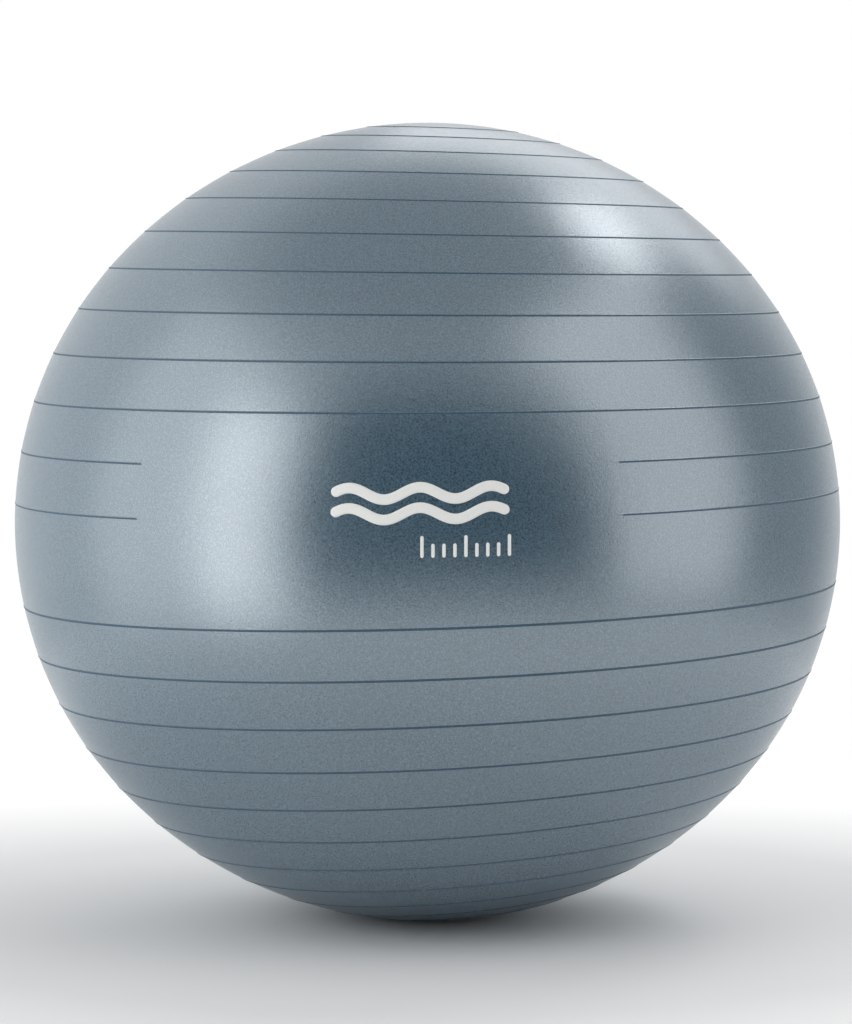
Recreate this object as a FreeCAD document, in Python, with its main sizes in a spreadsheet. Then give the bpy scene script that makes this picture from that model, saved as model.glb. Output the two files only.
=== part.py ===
import FreeCAD, Part

import math
import os

import Sketcher

# An inflatable exercise ball for physiotherapy, resting on a floor.
#
# Millimetres, +Z up. The origin is the middle of the round patch that the ball rests on.
# The valve looks along +Y, and the smooth panel for the print looks along -Y.
# The skin is drawn about the ball's centre, and the valve's pieces about the point where
# the valve's axis leaves the skin. Their Placements then bring them into this frame.

# Ribs are numbered up and down from the parting line of the mould, which carries none.
# The first two above it stop short on each side of the print panel.
RIBS_ABOVE = 12
RIBS_BELOW = 11
INTERRUPTED_RIBS = (1, 2)
STEM_RINGS = 3

# Lengths are millimetres and angles are degrees.
SIZES = {
    # the skin: a slightly flattened ball, and how deep its weight presses its foot flat
    "ball_width": 850,
    "ball_height": 822,
    "side_radius": 401,
    "floor_dent": 2.2,
    "wall": 0.65,
    # the ribs: round beads that stand rib_height out of the skin
    "bead_radius": 1.1,
    "rib_height": 0.45,
    # how far up the skin looks at rib n: rib_parting + rib_pitch n + rib_skew n^2 + rib_shrink n^3
    "rib_parting": -2.91,
    "rib_pitch": 7.255,
    "rib_skew": 0.0112,
    "rib_shrink": -0.0034,
    # tilt of rib n, up towards +X: tilt_parting + tilt_pitch n + tilt_skew n^2
    "tilt_parting": 1.36,
    "tilt_pitch": -0.37,
    "tilt_skew": 0.007,
    # the print panel, as angles about Z from the front
    "panel_middle": -7.5,
    "panel_width": 65.6,
    # the thick round boss inside the skin, and the hole through it for the seat
    "boss_radius": 23,
    "boss_face": 3.5,
    "boss_root": 0.8,
    "seat_radius": 15,
    # the soft seat
    "seat_proud": 0.6,
    "seat_edge": 0.4,
    "flange_radius": 21,
    "flange_thick": 1.5,
    "neck_radius": 8,
    "neck_end": 27,
    "bore_radius": 5,
    "bore_mouth": 0.8,
    "recess_radius": 9.7,
    "recess_depth": 2.3,
    # the plug
    "head_radius": 9.3,
    "head_gap": 0.05,
    "head_edge": 0.6,
    "core_radius": 4.3,
    "ring_radius": 4.95,
    "ring_width": 2.4,
    "ring_slope": 0.5,
    "ring_pitch": 5,
    "first_ring": 3,
    "stem_length": 20,
    "tip_length": 2.5,
    "tip_radius": 3.2,
    "hollow_radius": 1.8,
    "hollow_depth": 14,
}

# How far the ball's centre stands above the flat patch.
CENTRE_HEIGHT = "(Sizes.ball_height / 2 - Sizes.floor_dent)"
# How far from the Z axis the centre of the side's arc lies.
SIDE_CENTRE = "(Sizes.ball_width / 2 - Sizes.side_radius)"

doc = FreeCAD.newDocument("ExerciseBall")


# ---------------------------------------------------------------- helpers


def write_sheet():
    """Put every driving dimension in its own cell, under its alias."""
    sheet = doc.addObject("Spreadsheet::Sheet", "Sizes")
    for row, (alias, value) in enumerate(SIZES.items(), start=1):
        sheet.set(f"A{row}", alias)
        sheet.set(f"B{row}", str(value))
        sheet.setAlias(f"B{row}", alias)
    doc.recompute()


def new_body(label):
    """A sub-part whose own origin lies at the height of the ball's centre."""
    body = doc.addObject("PartDesign::Body", label)
    body.Label = label
    body.setExpression("Placement.Base.z", CENTRE_HEIGHT)
    return body


def new_sketch(body, name, plane):
    """A sketch on one of the body's own origin planes."""
    sketch = body.newObject("Sketcher::SketchObject", name)
    support = next(f for f in body.Origin.OriginFeatures if f.Role == plane)
    sketch.AttachmentSupport = [(support, "")]
    sketch.MapMode = "FlatFace"
    sketch.Visibility = False
    return sketch


def bound(sketch, constraint, formula):
    """Add a constraint whose value follows a formula of the sheet's cells."""
    index = sketch.addConstraint(constraint)
    sketch.setExpression(f"Constraints[{index}]", formula)


def polygon(body, name, corners):
    """A closed polygon on the XY plane, drawn roughly and then pinned corner by corner.

    A corner is its two formulas. None for the first one puts the corner on the Y axis.
    """
    sketch = new_sketch(body, name, "XY_Plane")
    count = len(corners)
    rough = Part.Circle(FreeCAD.Vector(2, 0, 0), FreeCAD.Vector(0, 0, 1), 1).discretize(count + 1)
    for index in range(count):
        sketch.addGeometry(Part.LineSegment(rough[index], rough[index + 1]))
    for index, (across, along) in enumerate(corners):
        before = (index - 1) % count
        sketch.addConstraint(Sketcher.Constraint("Coincident", before, 2, index, 1))
        if across is None:
            sketch.addConstraint(Sketcher.Constraint("PointOnObject", index, 1, -2))
        else:
            bound(sketch, Sketcher.Constraint("DistanceX", -1, 1, index, 1, 1.0), across)
        bound(sketch, Sketcher.Constraint("DistanceY", -1, 1, index, 1, 1.0), along)
    return sketch


def circle(body, name, offset, radius):
    """A circle about the Y axis, as far out along +Y as the formula offset says."""
    sketch = new_sketch(body, name, "XZ_Plane")
    sketch.setExpression("AttachmentOffset.Base.z", f"-({offset})")
    sketch.addGeometry(Part.Circle(FreeCAD.Vector(), FreeCAD.Vector(0, 0, 1), 1))
    sketch.addConstraint(Sketcher.Constraint("Coincident", 0, 3, -1, 1))
    bound(sketch, Sketcher.Constraint("Radius", 0, 1.0), radius)
    return sketch


def ball_outline(body, name, inset):
    """Right half of the ball's section, inset all round by a formula, with its flat foot.

    The section is an oval of round arcs: one for the side, tangent to one for each cap.
    """
    sketch = new_sketch(body, name, "XZ_Plane")
    normal = FreeCAD.Vector(0, 0, 1)
    half_height = SIZES["ball_height"] / 2
    side_radius = SIZES["side_radius"]
    side_x = SIZES["ball_width"] / 2 - side_radius
    rise = half_height - side_radius
    cap_y = (side_x**2 - rise**2) / (2 * rise)
    cap_radius = half_height + cap_y
    joint = math.atan2(cap_y, side_x)
    foot_turn = -math.asin(1 - SIZES["floor_dent"] / cap_radius)
    side_circle = Part.Circle(FreeCAD.Vector(side_x, 0, 0), normal, side_radius)
    upper_circle = Part.Circle(FreeCAD.Vector(0, -cap_y, 0), normal, cap_radius)
    lower_circle = Part.Circle(FreeCAD.Vector(0, cap_y, 0), normal, cap_radius)
    foot = lower_circle.value(foot_turn)
    top = FreeCAD.Vector(0, half_height, 0)
    axis_foot = FreeCAD.Vector(0, foot.y, 0)
    side = sketch.addGeometry(Part.ArcOfCircle(side_circle, -joint, joint))
    upper = sketch.addGeometry(Part.ArcOfCircle(upper_circle, joint, math.pi / 2))
    lower = sketch.addGeometry(Part.ArcOfCircle(lower_circle, foot_turn, -joint))
    axis = sketch.addGeometry(Part.LineSegment(top, axis_foot))
    flat = sketch.addGeometry(Part.LineSegment(axis_foot, foot))
    for constraint in (
        Sketcher.Constraint("PointOnObject", side, 3, -1),
        Sketcher.Constraint("PointOnObject", upper, 3, -2),
        Sketcher.Constraint("PointOnObject", lower, 3, -2),
        Sketcher.Constraint("PointOnObject", axis, 1, -2),
        Sketcher.Constraint("PointOnObject", axis, 2, -2),
        Sketcher.Constraint("Tangent", side, 2, upper, 1),
        Sketcher.Constraint("Tangent", side, 1, lower, 2),
        Sketcher.Constraint("Coincident", upper, 2, axis, 1),
        Sketcher.Constraint("Coincident", axis, 2, flat, 1),
        Sketcher.Constraint("Coincident", flat, 2, lower, 1),
        Sketcher.Constraint("Equal", upper, lower),
        Sketcher.Constraint("Horizontal", flat),
    ):
        sketch.addConstraint(constraint)
    across = Sketcher.Constraint("DistanceX", -1, 1, side, 3, side_x)
    radius = Sketcher.Constraint("Radius", side, side_radius)
    height = Sketcher.Constraint("DistanceY", -1, 1, upper, 2, half_height)
    depth = Sketcher.Constraint("DistanceY", flat, 1, -1, 1, -foot.y)
    bound(sketch, across, SIDE_CENTRE)
    bound(sketch, radius, f"Sizes.side_radius - {inset}")
    bound(sketch, height, f"Sizes.ball_height / 2 - {inset}")
    bound(sketch, depth, f"{CENTRE_HEIGHT} - {inset}")
    return sketch


def revolved(body, sketch, kind, name):
    """Turn a sketch a full turn about its own vertical axis."""
    feature = body.newObject(kind, name)
    feature.Profile = sketch
    feature.ReferenceAxis = (sketch, ["V_Axis"])
    feature.Angle = 360
    return feature


def extruded(body, sketch, kind, name, length):
    feature = body.newObject(kind, name)
    feature.Profile = sketch
    feature.setExpression("Length", length)
    return feature


# ---------------------------------------------------------------- the skin

# A rib is a tilted round slice of the sphere that hugs the skin at its height. Each formula
# may use those before it. Facing is how far up the skin looks there, and Shoulder the same
# without its sign, and no more than at the joint of the section's arcs. Drop and SkinRadius
# are the sphere's height and radius, and Depth is how far out the slice lies in it.
RIB_FORMULAS = {
    "Number": "{number}",
    "Facing": "Sizes.rib_parting + Sizes.rib_pitch * Number + Sizes.rib_skew * Number^2"
    " + Sizes.rib_shrink * Number^3",
    "Tilt": "Sizes.tilt_parting + Sizes.tilt_pitch * Number + Sizes.tilt_skew * Number^2",
    "Shoulder": "min(abs(Facing); 90 deg - 2 * atan((Sizes.ball_height / 2 - Sizes.side_radius)"
    f" / {SIDE_CENTRE}))",
    "Drop": f"-{SIDE_CENTRE} * tan(Shoulder) * abs(Facing) / Facing",
    "SkinRadius": f"Sizes.side_radius + {SIDE_CENTRE} / cos(Shoulder)",
    "BeadSphere": "SkinRadius - Sizes.bead_radius + Sizes.rib_height",
    "Depth": "sin(Facing) * cos(Tilt)",
    "Turn": "Sizes.panel_middle + Sizes.panel_width / 2 - 90",
}
RIB_ANGLES = ("Facing", "Tilt", "Shoulder")
RIB_CENTRE = (
    "vector(-sin(Tilt) * Depth * BeadSphere; 0; Drop + cos(Tilt) * Depth * BeadSphere)"
)
RIB_ATTITUDE = "rotation(vector(0; 1; 0); -Tilt) * rotation(vector(0; 0; 1); Turn)"


def add_rib(body, number):
    """A round bead laid on the skin. Its sweep starts at the print panel's right edge."""
    side = "above" if number > 0 else "below"
    rib = body.newObject("PartDesign::AdditiveTorus", f"rib_{side}_{abs(number)}")
    for name, formula in RIB_FORMULAS.items():
        kind = "Angle" if name in RIB_ANGLES else "Float"
        rib.addProperty(f"App::Property{kind}", name, "Rib")
        rib.setExpression(name, formula.format(number=number))
    rib.setExpression("Radius1", "BeadSphere * sqrt(1 - Depth^2)")
    rib.setExpression("Radius2", "Sizes.bead_radius")
    rib.setExpression("Placement", f"placement({RIB_CENTRE}; {RIB_ATTITUDE})")
    if number in INTERRUPTED_RIBS:
        rib.setExpression("Angle3", "360 - Sizes.panel_width")
        add_rib_end(body, rib, "start", "0")
        add_rib_end(body, rib, "end", f"{rib.Name}.Angle3")


def add_rib_end(body, rib, name, turn):
    """Round off one end of an interrupted rib."""
    ball = body.newObject("PartDesign::AdditiveSphere", f"{rib.Name}_{name}")
    ball.setExpression("Radius", "Sizes.bead_radius")
    centre = f"vector({rib.Name}.Radius1 * cos({turn}); {rib.Name}.Radius1 * sin({turn}); 0)"
    no_turn = "rotation(vector(0; 0; 1); 0)"
    ball.setExpression("Placement", f"{rib.Name}.Placement * placement({centre}; {no_turn})")


def make_ball_shell():
    """The hollow skin, with its ribs, and a flat boss inside where the seat is bonded."""
    body = new_body("ball_shell")
    revolved(body, ball_outline(body, "outside", "0"), "PartDesign::Revolution", "ball")
    for number in range(-RIBS_BELOW, RIBS_ABOVE + 1):
        if number:
            add_rib(body, number)
    revolved(body, ball_outline(body, "inside", "Sizes.wall"), "PartDesign::Groove", "hollow")
    boss_plane = "Sizes.ball_width / 2 - Sizes.boss_face"
    boss = circle(body, "boss_outline", boss_plane, "Sizes.boss_radius")
    boss_pad = extruded(body, boss, "PartDesign::Pad", "boss", "Sizes.boss_face - Sizes.boss_root")
    boss_pad.Reversed = True
    hole = circle(body, "hole_outline", boss_plane, "Sizes.seat_radius")
    extruded(body, hole, "PartDesign::Pocket", "seat_hole", "2 * Sizes.boss_face")
    return body


# ---------------------------------------------------------------- the valve


def new_valve_body(label):
    """A piece of the valve: its own Y axis is the valve's, from the skin outwards."""
    body = new_body(label)
    body.setExpression("Placement.Base.y", "Sizes.ball_width / 2")
    return body


def make_valve_seat():
    """The soft seat: a pad with a recess for the head, an inner flange and a long neck."""
    body = new_valve_body("valve_seat")
    flange_back = "-Sizes.boss_face - Sizes.flange_thick"
    recess_floor = "Sizes.seat_proud - Sizes.recess_depth"
    section = polygon(
        body,
        "section",
        [
            ("Sizes.recess_radius", "Sizes.seat_proud - Sizes.seat_edge"),
            ("Sizes.recess_radius + Sizes.seat_edge", "Sizes.seat_proud"),
            ("Sizes.seat_radius - Sizes.seat_edge", "Sizes.seat_proud"),
            ("Sizes.seat_radius", "Sizes.seat_proud - Sizes.seat_edge"),
            ("Sizes.seat_radius", "-Sizes.boss_face"),
            ("Sizes.flange_radius", "-Sizes.boss_face"),
            ("Sizes.flange_radius", flange_back),
            ("Sizes.neck_radius", flange_back),
            ("Sizes.neck_radius", "-Sizes.neck_end"),
            ("Sizes.bore_radius", "-Sizes.neck_end"),
            ("Sizes.bore_radius", f"{recess_floor} - Sizes.bore_mouth"),
            ("Sizes.bore_radius + Sizes.bore_mouth", recess_floor),
            ("Sizes.recess_radius", recess_floor),
        ],
    )
    revolved(body, section, "PartDesign::Revolution", "seat")
    return body


def stem_ring(top):
    """One gripping ring of the stem, as corners that start at the formula top."""
    ring_foot = f"{top} - Sizes.ring_width"
    return [
        ("Sizes.core_radius", top),
        ("Sizes.ring_radius", f"{top} - Sizes.ring_slope"),
        ("Sizes.ring_radius", f"{ring_foot} + Sizes.ring_slope"),
        ("Sizes.core_radius", ring_foot),
    ]


def make_valve_plug():
    """The pull-out plug: a flush head on a ringed stem, hollow from its tip."""
    body = new_valve_body("valve_plug")
    under_head = "Sizes.seat_proud - Sizes.recess_depth + Sizes.head_gap"
    tip = f"{under_head} - Sizes.stem_length"
    corners = [
        (None, "Sizes.seat_proud"),
        ("Sizes.head_radius - Sizes.head_edge", "Sizes.seat_proud"),
        ("Sizes.head_radius", "Sizes.seat_proud - Sizes.head_edge"),
        ("Sizes.head_radius", under_head),
        ("Sizes.core_radius", under_head),
    ]
    for ring in range(STEM_RINGS):
        corners += stem_ring(f"{under_head} - Sizes.first_ring - {ring} * Sizes.ring_pitch")
    corners += [
        ("Sizes.core_radius", f"{tip} + Sizes.tip_length"),
        ("Sizes.tip_radius", tip),
        ("Sizes.hollow_radius", tip),
        ("Sizes.hollow_radius", f"{tip} + Sizes.hollow_depth"),
        (None, f"{tip} + Sizes.hollow_depth + Sizes.hollow_radius"),
    ]
    revolved(body, polygon(body, "section", corners), "PartDesign::Revolution", "plug")
    return body


# ---------------------------------------------------------------- checks and files


def check_features(body):
    """Stop if a feature failed, or if a feature that should cut took nothing away."""
    for feature in doc.Objects:
        if "Invalid" in feature.State or "Error" in feature.State:
            raise SystemExit(f"{feature.Name} failed")
    for feature in body.Group:
        if feature.TypeId in ("PartDesign::Groove", "PartDesign::Pocket"):
            if feature.Shape.Volume >= feature.BaseFeature.Shape.Volume:
                raise SystemExit(f"{feature.Name} cut nothing")


def check_solid(body):
    shape = body.Shape
    if shape.isNull() or not shape.isValid() or len(shape.Solids) != 1:
        raise SystemExit(f"{body.Label} is not one valid solid")


def export(bodies):
    os.makedirs("parts", exist_ok=True)
    for body in bodies:
        check_features(body)
        check_solid(body)
        body.Shape.exportStep(f"parts/{body.Label}.step")
        print(f"{body.Label}: {body.Shape.Volume / 1000:.1f} cm3")


write_sheet()
pieces = [make_ball_shell(), make_valve_seat(), make_valve_plug()]
doc.recompute()
export(pieces)
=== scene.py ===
import math

import bpy
import numpy as np
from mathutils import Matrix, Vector


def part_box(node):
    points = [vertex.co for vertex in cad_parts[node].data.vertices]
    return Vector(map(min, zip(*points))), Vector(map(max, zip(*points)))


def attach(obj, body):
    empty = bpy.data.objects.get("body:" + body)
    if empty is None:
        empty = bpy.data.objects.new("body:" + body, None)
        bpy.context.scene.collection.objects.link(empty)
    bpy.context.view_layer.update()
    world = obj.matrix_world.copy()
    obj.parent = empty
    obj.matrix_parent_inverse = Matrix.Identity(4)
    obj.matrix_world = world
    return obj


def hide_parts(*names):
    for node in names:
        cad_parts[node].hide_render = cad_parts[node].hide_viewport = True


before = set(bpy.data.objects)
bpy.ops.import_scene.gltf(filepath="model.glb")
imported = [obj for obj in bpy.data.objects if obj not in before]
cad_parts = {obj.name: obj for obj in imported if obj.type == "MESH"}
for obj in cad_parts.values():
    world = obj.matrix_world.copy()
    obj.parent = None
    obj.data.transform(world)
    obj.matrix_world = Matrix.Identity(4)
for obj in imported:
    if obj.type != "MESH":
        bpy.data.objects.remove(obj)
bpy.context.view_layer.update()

# Metres and degrees. The skin's section is an oval of round arcs: one of SIDE_RADIUS for the
# side, tangent to one for each cap. Rib n lies where the skin faces RIB_FACING up from level,
# and its plane leans RIB_TILT up towards +X. Rib 0 is the mould's parting line, left smooth.
BALL_WIDTH = 0.850
BALL_HEIGHT = 0.822
SIDE_RADIUS = 0.401
WALL = 0.00065
RIB_FACING = (-2.91, 7.255, 0.0112, -0.0034)
RIB_TILT = (1.36, -0.37, 0.007)
LOWEST_RIB, HIGHEST_RIB = -11, 12
BEAD_RADIUS = 0.0011
RIB_HEIGHT = 0.00045
# Each band of skin between two ribs is this much flatter, at its middle, than the oval.
BAND_SLACK = 0.00012
# Two ribs stop at the print panel, which lies between these turns about Z.
INTERRUPTED_RIBS = (1, 2)
PANEL_LEFT, PANEL_RIGHT = -130.3, -64.7
RIB_FADE = 1.3
FRONT_TURN, VALVE_TURN = -90.0, 90.0

HALF_WIDTH = BALL_WIDTH / 2
HALF_HEIGHT = BALL_HEIGHT / 2
SIDE_X = HALF_WIDTH - SIDE_RADIUS
RISE = HALF_HEIGHT - SIDE_RADIUS
CAP_DROP = (SIDE_X**2 - RISE**2) / (2 * RISE)
JOINT = math.degrees(math.atan2(CAP_DROP, SIDE_X))

shell_low, shell_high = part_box("ball_shell")
CENTRE = Vector((0, 0, shell_high.z - HALF_HEIGHT))
FLOOR = shell_low.z - CENTRE.z

# The valve, measured from the skin inwards along its own axis.
SEAT_RADIUS = 0.015
BOSS_RADIUS = 0.023
BOSS_FACE = 0.0035


# ---------------------------------------------------------------- meshes


def new_piece(name, vertices, faces, material, body):
    """A smooth-shaded piece, from vertices about the ball's centre, that rides on a body."""
    mesh = bpy.data.meshes.new(name)
    placed = np.asarray(vertices) + np.array(CENTRE)
    mesh.from_pydata(placed.tolist(), [], faces)
    mesh.validate()
    mesh.shade_smooth()
    mesh.materials.append(material)
    piece = bpy.data.objects.new(name, mesh)
    bpy.context.scene.collection.objects.link(piece)
    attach(piece, body)
    return piece


def loop_faces(outer, inner):
    """The quads between two closed loops of vertex numbers."""
    count = len(outer)
    after = [(k + 1) % count for k in range(count)]
    return [(outer[k], outer[after[k]], inner[after[k]], inner[k]) for k in range(count)]


def polynomial(terms, number):
    return sum(term * number**power for power, term in enumerate(terms))


# ---------------------------------------------------------------- the oval and its rows


class Row:
    """One closed line round the skin, in a plane that leans about the Y axis.

    It runs on the sphere that hugs the oval where the skin faces this many degrees up."""

    def __init__(self, facing, tilt, offset=0.0, lift=0.0, rib=None, matt=False):
        shoulder = math.radians(min(abs(facing), JOINT))
        self.drop = -math.copysign(SIDE_X * math.tan(shoulder), facing)
        self.radius = SIDE_RADIUS + SIDE_X / math.cos(shoulder)
        self.tilt = math.radians(tilt)
        level = math.sin(math.radians(facing)) * math.cos(self.tilt)
        self.angle = math.asin(level) + offset / self.radius
        self.lift = lift
        self.rib = rib
        # Whether the row lies on a rib's matt part, where the rib's colour is painted darker as
        # shade.
        self.matt = matt

    def points(self, turns, inset):
        """Where the row passes these turns: on the ribbed skin, or inset from its bare surface."""
        turn = np.radians(turns)
        east = np.cos(turn)
        along = np.stack([east * math.cos(self.tilt), np.sin(turn), east * math.sin(self.tilt)], 1)
        pole = np.array([-math.sin(self.tilt), 0, math.cos(self.tilt)])
        out = along * math.cos(self.angle) + pole * math.sin(self.angle)
        lift = np.full(len(turns), -inset) if inset else self.lift * rib_presence(self.rib, turns)
        points = out * (self.radius + lift)[:, None] + np.array([0, 0, self.drop])
        return rest_on_floor(points, inset)


def rib_presence(rib, turns):
    """1 where the rib runs, fading to 0 across the print panel if it stops there."""
    if rib not in INTERRUPTED_RIBS:
        return np.ones(len(turns))
    outside = np.maximum(PANEL_LEFT - turns, turns - PANEL_RIGHT)
    return np.clip(outside / RIB_FADE + 0.5, 0, 1)


def rest_on_floor(points, inset):
    """Press the foot flat, with a soft bend round the patch."""
    softness = 0.0002
    above = points[:, 2] - FLOOR - inset
    points[:, 2] = FLOOR + inset + softness * np.logaddexp(0, above / softness)
    return points


def numbered_row(number, **changes):
    """The row at a rib number, or at a place between two ribs."""
    return Row(polynomial(RIB_FACING, number), polynomial(RIB_TILT, number), **changes)


def rib_rows(rib):
    """The rows across one rib, a round bead that stands RIB_HEIGHT out of the skin.

    It is matt and its colour is painted darker as shade, with the skin just under it, but the upper
    side is left pearly above rib 0, so there the painted shade falls on the lower side only."""
    sunk = BEAD_RADIUS - RIB_HEIGHT
    reach = math.sqrt(BEAD_RADIUS**2 - sunk**2)
    # Painted shade covers the whole bead below rib 0, and only its lower side above rib 0.
    matt_up_to = 0.3 if rib > 0 else 1
    rows = []
    for share in (-1.6, -1.15, -1, -0.8, -0.45, 0, 0.3, 0.6, 0.85, 1, 1.15):
        offset = share * reach
        lift = math.sqrt(max(BEAD_RADIUS**2 - offset**2, sunk**2)) - sunk
        rows.append(numbered_row(rib, offset=offset, lift=lift, rib=rib, matt=share <= matt_up_to))
    return rows


def band_rows(rib):
    """The rows between a rib and the next one up."""
    rows = []
    for share in (0.10, 0.24, 0.50, 0.76, 0.90):
        slack = -BAND_SLACK * 4 * share * (1 - share)
        rows.append(numbered_row(rib + share, lift=slack, rib=rib))
    return rows


def cap_rows(rib, direction, count):
    """The rows from beyond the last rib to near the pole."""
    last = numbered_row(rib)
    reach = (math.pi / 2 - abs(last.angle)) * last.radius
    places = np.linspace(2 * BEAD_RADIUS, 0.99 * reach, count)
    return [numbered_row(rib, offset=direction * place) for place in places]


# The smooth band about the parting line holds the window round the valve, of
# WINDOW_STEPS rows and columns, which the valve's hole is drawn in.
WINDOW_STEPS = 12
WINDOW_FACING = 3.72
WINDOW_TURN = 3.6
# Degrees between columns outside and inside, and the reach and number of the finer columns
# where a rib ends.
OUTER_STEP, INNER_STEP = 2, 3
RIB_END_COLUMNS = (1.5, 8)


def outer_rows():
    """Every row of the outer skin, from foot to top, and the number of the window's first."""
    first, step = RIB_FACING[0], RIB_FACING[1]
    window = np.linspace(-WINDOW_FACING - first, WINDOW_FACING - first, WINDOW_STEPS + 1) / step
    rows = list(reversed(cap_rows(LOWEST_RIB, -1, 14)))
    for rib in range(LOWEST_RIB, HIGHEST_RIB):
        if rib == 0:
            continue
        rows += rib_rows(rib)
        if rib == -1:
            rows += [numbered_row(rib + share) for share in (0.10, 0.24, 0.44, 0.66)]
            window_row = len(rows)
            rows += [numbered_row(number) for number in window]
        else:
            rows += band_rows(rib)
    rows += rib_rows(HIGHEST_RIB)
    rows += cap_rows(HIGHEST_RIB, 1, 12)
    return rows, window_row


def inner_rows():
    """The sparser, level rows of the skin's inside, and the number of the window's first."""
    window = np.linspace(-2 * WINDOW_FACING, 2 * WINDOW_FACING, WINDOW_STEPS + 1)
    beyond = np.linspace(window[-1], 89, 28)[1:]
    facings = [*(-beyond[::-1]), *window, *beyond]
    return [Row(facing, 0) for facing in facings], len(beyond)


def columns(step, fine):
    """Turns round the skin, a step apart, and finer in each (middle, reach, count) of fine."""
    turns = []
    start = -180.0
    for middle, reach, count in fine:
        first, last = middle - reach, middle + reach
        turns += list(np.linspace(start, first, math.ceil((first - start) / step) + 1)[:-1])
        turns += list(np.linspace(first, last, count + 1)[:-1])
        start = last
    turns += list(np.linspace(start, 180, math.ceil((180 - start) / step) + 1)[:-1])
    return np.array(turns)


class Net:
    """A closed net of rows and columns with a square window left out."""

    def __init__(self, rows, turns, window_row, window_turn, inset, first_vertex):
        self.window_row = window_row
        self.window_column = int(np.argmin(np.abs(turns - VALVE_TURN + window_turn)))
        self.width = len(turns)
        self.height = len(rows)
        self.first = first_vertex
        self.rows = rows
        ends = [self.pole(rows[0], -1, inset), self.pole(rows[-1], 1, inset)]
        self.vertices = np.concatenate([row.points(turns, inset) for row in rows] + [ends])

    def pole(self, row, direction, inset):
        out = direction * np.array([-math.sin(row.tilt), 0, math.cos(row.tilt)])
        point = out * (row.radius - inset) + np.array([0, 0, row.drop])
        return rest_on_floor(point[None, :], inset)[0]

    def matt_vertices(self, turns):
        """The numbers of the vertices on the matt part of a rib, where its colour is painted darker
        as shade.
        """
        matt = [row.matt & (rib_presence(row.rib, turns) > 0.5) for row in self.rows]
        return set((self.first + np.flatnonzero(np.concatenate(matt))).tolist())

    def vertex(self, row, column):
        return self.first + row * self.width + column % self.width

    def faces(self):
        """The net's quads and its end triangles, facing out."""
        rows = range(self.window_row, self.window_row + WINDOW_STEPS)
        across = range(self.window_column, self.window_column + WINDOW_STEPS)
        found = []
        for i in range(self.height - 1):
            for j in range(self.width):
                if i in rows and j in across:
                    continue
                low = (self.vertex(i, j), self.vertex(i, j + 1))
                found.append((*low, self.vertex(i + 1, j + 1), self.vertex(i + 1, j)))
        foot = self.first + self.height * self.width
        last = self.height - 1
        for j in range(self.width):
            found.append((foot, self.vertex(0, j + 1), self.vertex(0, j)))
            found.append((foot + 1, self.vertex(last, j), self.vertex(last, j + 1)))
        return found

    def window(self):
        """The vertices round the window, counterclockwise from outside."""
        low, high = self.window_row, self.window_row + WINDOW_STEPS
        left, right = self.window_column, self.window_column + WINDOW_STEPS
        loop = [self.vertex(low, j) for j in range(left, right)]
        loop += [self.vertex(i, right) for i in range(low, high)]
        loop += [self.vertex(high, j) for j in range(right, left, -1)]
        loop += [self.vertex(i, left) for i in range(high, low, -1)]
        return loop


def skin_depth(x, z, inset):
    """How far back the skin lies, level with the valve, at (x, z) from its axis."""
    reach = SIDE_X + np.sqrt((SIDE_RADIUS - inset) ** 2 - z**2)
    return np.sqrt(reach**2 - x**2)


# ---------------------------------------------------------------- the skin


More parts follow.
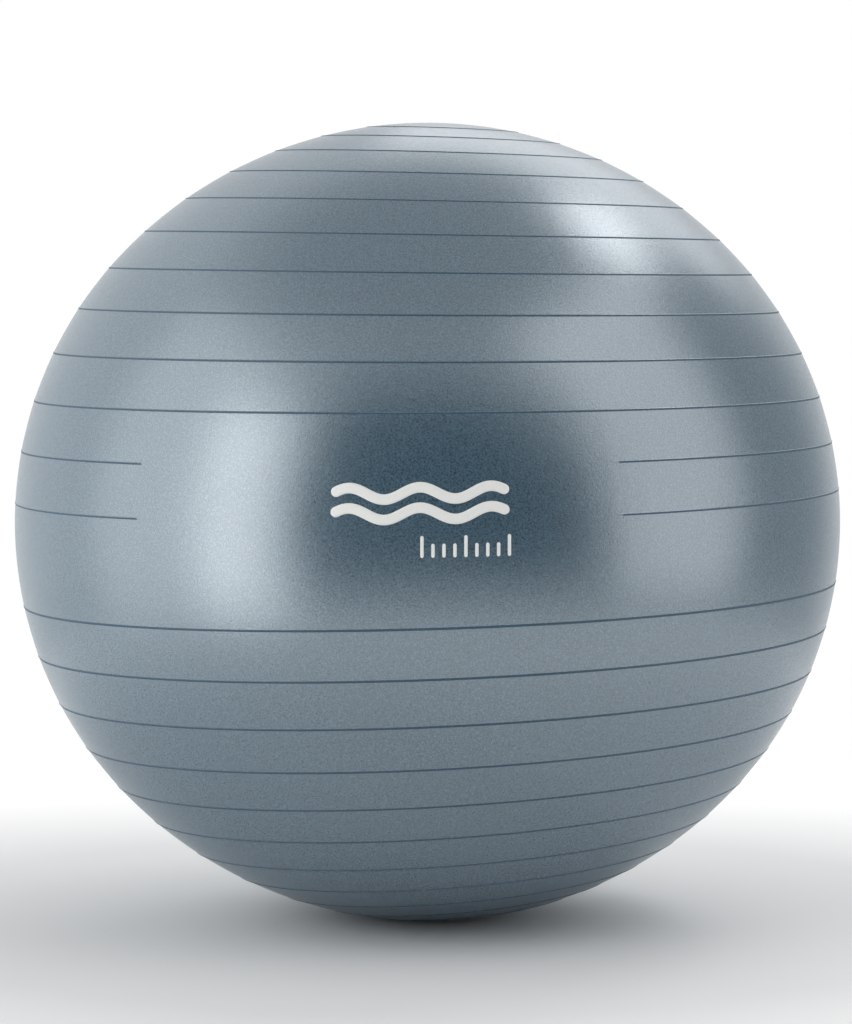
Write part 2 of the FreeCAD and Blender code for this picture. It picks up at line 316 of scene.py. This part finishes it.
def make_skin(material, rib_shade_material):
    """The hollow skin with its ribs, its flat foot, and the boss and hole at the valve."""
    rows, window_row = outer_rows()
    ends = [(PANEL_LEFT, *RIB_END_COLUMNS), (PANEL_RIGHT, *RIB_END_COLUMNS)]
    turns = columns(OUTER_STEP, ends + [(VALVE_TURN, WINDOW_TURN, WINDOW_STEPS)])
    outside = Net(rows, turns, window_row, WINDOW_TURN, 0, 0)
    matt = outside.matt_vertices(turns)

    rows, window_row = inner_rows()
    window_turn = 2 * WINDOW_TURN
    turns = columns(INNER_STEP, [(VALVE_TURN, window_turn, WINDOW_STEPS)])
    inside = Net(rows, turns, window_row, window_turn, WALL, len(outside.vertices))

    vertices = [*outside.vertices, *inside.vertices]
    faces = outside.faces() + [face[::-1] for face in inside.faces()]

    def corner(number):
        point = vertices[number]
        return np.array([point[0], point[2]])

    def spoke_ring(places):
        first = len(vertices)
        vertices.extend(places)
        return list(range(first, first + len(places)))

    outer_loop, inner_loop = outside.window(), inside.window()
    spokes = [corner(number) / np.linalg.norm(corner(number)) for number in outer_loop]
    rings = [outer_loop]
    edge = 0.0004
    for share in (0.25, 0.5, 0.75, 1):
        places = []
        for number, spoke in zip(outer_loop, spokes):
            x, z = corner(number) * (1 - share) + spoke * (SEAT_RADIUS + edge) * share
            places.append((x, skin_depth(x, z, 0), z))
        rings.append(spoke_ring(places))
    mouth = HALF_WIDTH - SEAT_RADIUS**2 / BALL_WIDTH
    hole = [
        (SEAT_RADIUS + 0.3 * edge, mouth - 0.3 * edge),
        (SEAT_RADIUS, mouth - edge),
        (SEAT_RADIUS, HALF_WIDTH - BOSS_FACE),
        (BOSS_RADIUS - edge, HALF_WIDTH - BOSS_FACE),
        (BOSS_RADIUS, HALF_WIDTH - BOSS_FACE + edge),
    ]
    for radius, depth in hole:
        rings.append(spoke_ring([(radius * x, depth, radius * z) for x, z in spokes]))
    for share in (0, 0.5):
        places = []
        for number, spoke in zip(inner_loop, spokes):
            x, z = corner(number) * share + spoke * (BOSS_RADIUS + edge) * (1 - share)
            places.append((x, skin_depth(x, z, WALL), z))
        rings.append(spoke_ring(places))
    rings.append(inner_loop)
    for ring, following in zip(rings, rings[1:]):
        faces += loop_faces(ring, following)

    skin = new_piece("skin", vertices, faces, material, "ball")
    skin.data.materials.append(rib_shade_material)
    # Faces on the ribs' matt parts take the darker rib material, painted shade.
    for face in skin.data.polygons:
        face.material_index = int(matt.issuperset(face.vertices))
    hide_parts("ball_shell")
    return skin


# ---------------------------------------------------------------- the valve


def rounded(corners, radius, closed):
    """An outline with each corner turned into a small curve."""
    outline = []
    count = len(corners)
    for k, corner in enumerate(corners):
        if not closed and k in (0, count - 1):
            outline.append(corner)
            continue
        here = np.array(corner)
        legs = [np.array(corners[(k + way) % count]) - here for way in (-1, 1)]
        cuts = [leg * min(radius / np.linalg.norm(leg), 0.45) for leg in legs]
        for share in (0, 0.3, 0.7, 1):
            outline.append(tuple(here + cuts[0] * (1 - share) ** 2 + cuts[1] * share**2))
    return outline


def lathe(outline, closed, count=96):
    """Vertices and faces of an outline of (radius, height) in mm, turned about the valve's axis."""
    turns = np.linspace(0, 2 * math.pi, count, endpoint=False)
    vertices, loops = [], []
    for radius, height in outline:
        first = len(vertices)
        if radius:
            reach, level = radius / 1000, HALF_WIDTH + height / 1000
            vertices += [(reach * math.cos(turn), level, reach * math.sin(turn)) for turn in turns]
            loops.append(list(range(first, first + count)))
        else:
            vertices.append((0, HALF_WIDTH + height / 1000, 0))
            loops.append([first] * count)
    faces = []
    for loop, following in zip(loops, loops[1:] + loops[:1] if closed else loops[1:]):
        faces += [tuple(dict.fromkeys(face)) for face in loop_faces(loop, following)]
    return vertices, faces


SEAT_TOP = 0.6
SEAT_EDGE = 0.4
RECESS_FLOOR = -1.7


def make_seat(material):
    """The soft valve seat: a pad with a recess, a flange inside the boss and a long neck."""
    corners = [
        (9.7, SEAT_TOP),
        (15, SEAT_TOP),
        (15, -3.5),
        (21, -3.5),
        (21, -5),
        (8, -5),
        (8, -27),
        (5, -27),
        (5, RECESS_FLOOR),
        (9.7, RECESS_FLOOR),
    ]
    vertices, faces = lathe(rounded(corners, SEAT_EDGE, True), True)
    seat = new_piece("valve_collar", vertices, faces, material, "ball")
    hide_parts("valve_seat")


def make_plug(material):
    """The pull-out plug: a flush, slightly dished head on a ringed and hollow stem."""
    under_head = RECESS_FLOOR + 0.05
    corners = [(0, SEAT_TOP - 0.35), (5.6, SEAT_TOP - 0.35), (6.4, SEAT_TOP), (9.3, SEAT_TOP)]
    corners += [(9.3, under_head), (4.3, under_head)]
    for ring in range(3):
        top = under_head - 3 - 5 * ring
        corners += [(4.3, top), (4.95, top - 0.5), (4.95, top - 1.9), (4.3, top - 2.4)]
    corners += [(4.3, -19.15), (3.2, -21.65), (1.8, -21.65), (1.8, -7.65), (0, -5.85)]
    vertices, faces = lathe(rounded(corners, SEAT_EDGE, False), False)
    plug = new_piece("plug", vertices, faces, material, "plug")
    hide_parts("valve_plug")


# ---------------------------------------------------------------- the print


INK_TOP, INK_FOOT = 0.00006, -0.00010
# How far the print rises for each metre to the right.
PRINT_LEAN = 0.017
PRINT_LEFT, PRINT_RIGHT = -0.0905, 0.0765
BAND_MIDDLES = (0.0560, 0.0372)
BAND_WIDTH = 0.0098
WAVES, SWING = 2.5, 0.0055
TICKS, TICK_STEP, TICK_WIDTH, TICK_FOOT = 9, 0.0102, 0.0032, -0.0039
# Every fourth tick is long.
LONG_TICK, SHORT_TICK = 0.0204, 0.0130


def on_skin(across, up, lift):
    """A point of the print panel, across and up from the middle of the ball's front."""
    turn = math.radians(FRONT_TURN) + across / HALF_WIDTH
    reach = SIDE_X + math.sqrt((SIDE_RADIUS + lift) ** 2 - up**2)
    return reach * math.cos(turn), reach * math.sin(turn), up


def stroke(line, width):
    """Vertices and faces of one round-ended stroke of ink along a line of (across, up)."""
    line = np.array(line)
    steps = np.linalg.norm(np.diff(line, axis=0), axis=1)
    run = np.concatenate([[0], np.cumsum(steps)])
    from_end = np.minimum(run, run[-1] - run)
    half = width / 2
    inward = np.clip(half - from_end, 0, 0.99 * half)
    reach = np.sqrt(half**2 - inward**2)
    ahead = np.gradient(line, run, axis=0)
    side = np.stack([-ahead[:, 1], ahead[:, 0]], 1) / np.linalg.norm(ahead, axis=1)[:, None]
    shares = np.linspace(-1, 1, 5)
    vertices = []
    for lift in (INK_TOP, INK_FOOT):
        for share in shares:
            vertices += [on_skin(*(p + s * r * share), lift) for p, s, r in zip(line, side, reach)]
    count, lanes = len(line), len(shares)
    faces = []
    for lane in range(lanes - 1):
        for k in range(count - 1):
            a, b = lane * count + k, (lane + 1) * count + k
            faces.append((a, a + 1, b + 1, b))
            low_a, low_b = a + lanes * count, b + lanes * count
            faces.append((low_a, low_b, low_b + 1, low_a + 1))
    rim = [lane * count for lane in range(lanes - 1)]
    rim += [(lanes - 1) * count + k for k in range(count - 1)]
    rim += [lane * count + count - 1 for lane in range(lanes - 1, 0, -1)]
    rim += list(range(count - 1, 0, -1))
    faces += loop_faces(rim, [k + lanes * count for k in rim])
    return vertices, faces


def end_spaced(count):
    """Shares from 0 to 1, closer together at both ends."""
    return (1 - np.cos(np.linspace(0, math.pi, count))) / 2


def make_print(material):
    """Two plain wavy bands, and a row of ticks under their right end."""
    vertices, faces = [], []

    def add(line, width):
        more, found = stroke(line, width)
        faces.extend(tuple(k + len(vertices) for k in face) for face in found)
        vertices.extend(more)

    shares = np.unique(np.concatenate([end_spaced(40), np.linspace(0, 1, 120)]))
    for middle in BAND_MIDDLES:
        line = []
        for share in shares:
            across = PRINT_LEFT + share * (PRINT_RIGHT - PRINT_LEFT)
            wave = SWING * math.sin(2 * math.pi * WAVES * share)
            line.append((across, middle + PRINT_LEAN * across + wave))
        add(line, BAND_WIDTH)
    for tick in range(TICKS):
        across = PRINT_RIGHT - TICK_STEP * tick
        foot = TICK_FOOT + PRINT_LEAN * across
        top = foot + (LONG_TICK if tick % 4 == 0 else SHORT_TICK)
        add([(across, foot + share * (top - foot)) for share in end_spaced(24)], TICK_WIDTH)
    return new_piece("print", vertices, faces, material, "ball")


# ---------------------------------------------------------------- materials

MAP_RANGE = ("From Min", "From Max", "To Min", "To Max")


class Nodes:
    """A short way to write a material's node tree."""

    def __init__(self, name):
        self.material = bpy.data.materials.new(name)
        self.material.use_nodes = True
        self.tree = self.material.node_tree
        self.shader = self.tree.nodes["Principled BSDF"]
        self.place = self.add("ShaderNodeTexCoord").outputs["Object"]

    def add(self, kind, **settings):
        node = self.tree.nodes.new(kind)
        for key, value in settings.items():
            setattr(node, key, value)
        return node

    def link(self, source, target):
        self.tree.links.new(source, target)

    def noise(self, scale, detail=2.0, roughness=0.5):
        node = self.add("ShaderNodeTexNoise")
        node.inputs["Scale"].default_value = scale
        node.inputs["Detail"].default_value = detail
        node.inputs["Roughness"].default_value = roughness
        self.link(self.place, node.inputs["Vector"])
        return node.outputs["Fac"]

    def spread(self, source, low, high, start=0.3, end=0.7):
        """The source's range from start to end, spread from low to high."""
        node = self.add("ShaderNodeMapRange")
        for name, value in zip(MAP_RANGE, (start, end, low, high)):
            node.inputs[name].default_value = value
        self.link(source, node.inputs["Value"])
        return node.outputs["Result"]

    def ramp(self, source, stops):
        node = self.add("ShaderNodeValToRGB")
        elements = node.color_ramp.elements
        elements[0].position, elements[0].color = stops[0][0], (*stops[0][1], 1)
        elements[1].position, elements[1].color = stops[-1][0], (*stops[-1][1], 1)
        for position, colour in stops[1:-1]:
            elements.new(position).color = (*colour, 1)
        self.link(source, node.inputs["Fac"])
        return node.outputs["Color"]

    def bump(self, source, distance, strength, below=None):
        node = self.add("ShaderNodeBump")
        node.inputs["Distance"].default_value = distance
        node.inputs["Strength"].default_value = strength
        self.link(source, node.inputs["Height"])
        if below:
            self.link(below, node.inputs["Normal"])
        return node.outputs["Normal"]

    def finish(self, colour, roughness, normal, **constants):
        self.link(colour, self.shader.inputs["Base Color"])
        self.link(roughness, self.shader.inputs["Roughness"])
        self.link(normal, self.shader.inputs["Normal"])
        for name, value in constants.items():
            self.shader.inputs[name.replace("_", " ")].default_value = value
        return self.material


def shaded(colour, amount):
    return tuple(channel * amount for channel in colour)


SLATE = (0.066, 0.120, 0.164)
# The ribs' colour: the slate darkened as painted shade.
RIB_PAINTED_SHADE = (0.036, 0.084, 0.128)
# A pearly finish reflects much more than plain PVC does, and a little bluer.
PEARL = {"IOR": 2.6, "Specular_Tint": (0.89, 0.96, 1.0, 1)}
OFF_WHITE = (0.76, 0.76, 0.74)
INK_WHITE = (0.88, 0.89, 0.87)


def skin_material():
    """Satin pearly PVC with a fine, speckled grain."""
    nodes = Nodes("skin_pvc")
    grain = nodes.noise(620, 2.0, 0.6)
    pores = nodes.noise(1100, 1.0)
    shades = [(0.34, shaded(SLATE, 0.55)), (0.5, SLATE), (0.66, shaded(SLATE, 1.45))]
    colour = nodes.ramp(grain, shades)
    roughness = nodes.spread(nodes.noise(9, 3.0), 0.22, 0.26)
    normal = nodes.bump(pores, 0.0003, 0.3, nodes.bump(grain, 0.0004, 0.35))
    return nodes.finish(colour, roughness, normal, **PEARL)


def rib_shade_material():
    """The ribs' matt PVC, its colour darkened as painted shade."""
    nodes = Nodes("rib_painted_shade_pvc")
    grain = nodes.noise(620, 2.0, 0.6)
    colour = nodes.ramp(grain, [(0.34, shaded(RIB_PAINTED_SHADE, 0.8)), (0.66, shaded(RIB_PAINTED_SHADE, 1.2))])
    return nodes.finish(colour, nodes.spread(grain, 0.45, 0.60), nodes.bump(grain, 0.0002, 0.3))


def seat_material():
    """The seat's smoother, slightly darker PVC."""
    nodes = Nodes("seat_pvc")
    grain = nodes.noise(700, 3.0)
    colour = nodes.ramp(grain, [(0.3, shaded(SLATE, 0.74)), (0.7, shaded(SLATE, 0.86))])
    roughness = nodes.spread(nodes.noise(120, 2.0), 0.34, 0.44)
    return nodes.finish(colour, roughness, nodes.bump(grain, 0.0001, 0.3))


def plug_material():
    """Moulded off-white plastic."""
    nodes = Nodes("plug_plastic")
    grain = nodes.noise(1400, 2.0)
    colour = nodes.ramp(nodes.noise(60, 2.0), [(0.3, shaded(OFF_WHITE, 0.95)), (0.7, OFF_WHITE)])
    roughness = nodes.spread(grain, 0.30, 0.42)
    return nodes.finish(colour, roughness, nodes.bump(grain, 0.00006, 0.4))


def print_material():
    """Matt screen-print ink, with a fine grain of its own like the skin's."""
    nodes = Nodes("print_ink")
    grain = nodes.noise(430, 3.0, 0.55)
    colour = nodes.ramp(nodes.noise(800, 2.0), [(0.3, shaded(INK_WHITE, 0.95)), (0.6, INK_WHITE)])
    roughness = nodes.spread(grain, 0.45, 0.60)
    return nodes.finish(colour, roughness, nodes.bump(grain, 0.0004, 0.25))


# ---------------------------------------------------------------- the studio

# Each softbox: degrees right of the camera, degrees up, how wide and tall it looks in
# degrees, and its radiance, where 1 is white in the picture.
SOFTBOXES = {
    "left_softbox": (-49, 6, 24, 54, 2.3),
    "left_panel": (-77, 4, 45, 88, 0.7),
    "right_softbox": (70, 15, 44, 58, 1.25),
    "right_upper": (70, 52, 44, 14, 1.2),
    "top_light": (128, 53, 20, 12, 4.0),
    "back_window": (160, 38, 40, 26, 1.0),
}
STUDIO_REACH = 6.0
BACKDROP = 1.0
# The backdrop's right side is this much of the rest.
RIGHT_SIDE = 0.4
CEILING = 0.46
# The pale floor beyond the disc, as the ball reflects it.
FAR_FLOOR = 0.75
FLOOR_RADIUS = 1.25
# The floor brightens to white from FLOOR_SHADE metres out to its edge.
FLOOR_SHADE = 0.55
FLOOR_GLOW = 0.32
# Between which X, Y or Z of a direction each part of the studio fades in or out.
DARK_FRONT = (-0.85, -0.45)
DIM_RIGHT = (0.35, 0.85)
WALL_TOP = (0.60, 0.95)
CEILING_EDGE = (0.55, 0.90)
FLOOR_EDGE = (-0.34, -0.14)


def direction(right, up):
    """The way from the ball, degrees right of the camera and degrees up."""
    right, up = math.radians(right), math.radians(up)
    return Vector((math.sin(right) * math.cos(up), -math.cos(right) * math.cos(up), math.sin(up)))


def softbox(name, right, up, wide, tall, radiance):
    """A far rectangular light that faces the ball and looks wide by tall degrees from it."""
    light = bpy.data.lights.new(name, "AREA")
    light.shape = "RECTANGLE"
    light.size = 2 * STUDIO_REACH * math.tan(math.radians(wide / 2))
    light.size_y = 2 * STUDIO_REACH * math.tan(math.radians(tall / 2))
    light.energy = radiance * math.pi * light.size * light.size_y
    lamp = bpy.data.objects.new(name, light)
    toward = direction(right, up)
    lamp.location = CENTRE + STUDIO_REACH * toward
    lamp.rotation_euler = toward.to_track_quat("Z", "Y").to_euler()
    bpy.context.scene.collection.objects.link(lamp)


def make_world():
    """A white backdrop that is dimmer on the right, a grey ceiling, a pale far floor, and a dark
    room in front. The camera itself sees plain white."""
    world = bpy.data.worlds.new("studio")
    bpy.context.scene.world = world
    world.use_nodes = True
    tree = world.node_tree
    place = tree.nodes.new("ShaderNodeTexCoord")
    parts = tree.nodes.new("ShaderNodeSeparateXYZ")
    tree.links.new(place.outputs["Generated"], parts.inputs[0])

    def ramp(source, limits, low, high):
        node = tree.nodes.new("ShaderNodeMapRange")
        node.interpolation_type = "SMOOTHSTEP"
        for name, value in zip(MAP_RANGE, (*limits, low, high)):
            node.inputs[name].default_value = value
        tree.links.new(parts.outputs[source], node.inputs["Value"])
        return node.outputs["Result"]

    def combine(operation, first, second):
        node = tree.nodes.new("ShaderNodeMath")
        node.operation = operation
        tree.links.new(first, node.inputs[0])
        tree.links.new(second, node.inputs[1])
        return node.outputs["Value"]

    walls = combine("MULTIPLY", ramp("Y", DARK_FRONT, 0, BACKDROP), ramp("Z", WALL_TOP, 1, 0))
    walls = combine("MULTIPLY", walls, ramp("X", DIM_RIGHT, 1, RIGHT_SIDE))
    walls = combine("MULTIPLY", walls, ramp("Z", FLOOR_EDGE, 0, 1))
    studio = combine("ADD", walls, ramp("Z", CEILING_EDGE, 0, CEILING))
    studio = combine("ADD", studio, ramp("Z", FLOOR_EDGE, FAR_FLOOR, 0))
    path = tree.nodes.new("ShaderNodeLightPath")
    mix = tree.nodes.new("ShaderNodeMix")
    mix.inputs["B"].default_value = 1
    tree.links.new(studio, mix.inputs["A"])
    tree.links.new(path.outputs["Is Camera Ray"], mix.inputs["Factor"])
    shade = tree.nodes["Background"]
    shade.inputs["Color"].default_value = (1, 1, 1, 1)
    tree.links.new(mix.outputs["Result"], shade.inputs["Strength"])


def make_floor():
    """A plain pale floor under the ball, with a glow of its own far from it."""
    bpy.ops.mesh.primitive_circle_add(vertices=256, radius=FLOOR_RADIUS, fill_type="NGON")
    floor = bpy.context.object
    floor.name = "floor"
    floor.location.z = shell_low.z
    nodes = Nodes("floor_paint")
    shades = [(0.3, shaded((1, 1, 1), 0.86)), (0.7, shaded((1, 1, 1), 0.88))]
    colour = nodes.ramp(nodes.noise(2, 2.0), shades)
    roughness = nodes.spread(nodes.noise(30, 2.0), 0.8, 0.9)
    nodes.shader.inputs["Emission Color"].default_value = (1, 1, 1, 1)
    reach = nodes.add("ShaderNodeVectorMath", operation="LENGTH")
    nodes.link(nodes.place, reach.inputs[0])
    glow = nodes.spread(reach.outputs["Value"], 0, FLOOR_GLOW, FLOOR_SHADE, FLOOR_RADIUS)
    nodes.link(glow, nodes.shader.inputs["Emission Strength"])
    normal = nodes.bump(nodes.noise(200), 0.0001, 0.1)
    floor.data.materials.append(nodes.finish(colour, roughness, normal))


CAMERA_DISTANCE = 3.995
CAMERA_UP = 4.02
CAMERA_AIM = (-0.0015, 0, 0.0099)
CAMERA_LENS = 135.6


def make_camera():
    """The view from straight in front, a little above the ball's middle, with a long lens."""
    camera = bpy.data.cameras.new("camera")
    camera.lens = CAMERA_LENS
    camera.sensor_width = 36
    camera.clip_end = 100
    view = bpy.data.objects.new("camera", camera)
    view.location = CENTRE + CAMERA_DISTANCE * direction(0, CAMERA_UP)
    aim = CENTRE + Vector(CAMERA_AIM)
    view.rotation_euler = (view.location - aim).to_track_quat("Z", "Y").to_euler()
    bpy.context.scene.collection.objects.link(view)
    bpy.context.scene.camera = view


make_skin(skin_material(), rib_shade_material())
make_seat(seat_material())
make_plug(plug_material())
make_print(print_material())

make_floor()
make_world()
for name, facts in SOFTBOXES.items():
    softbox(name, *facts)
make_camera()
bpy.context.scene.view_settings.view_transform = "Standard"
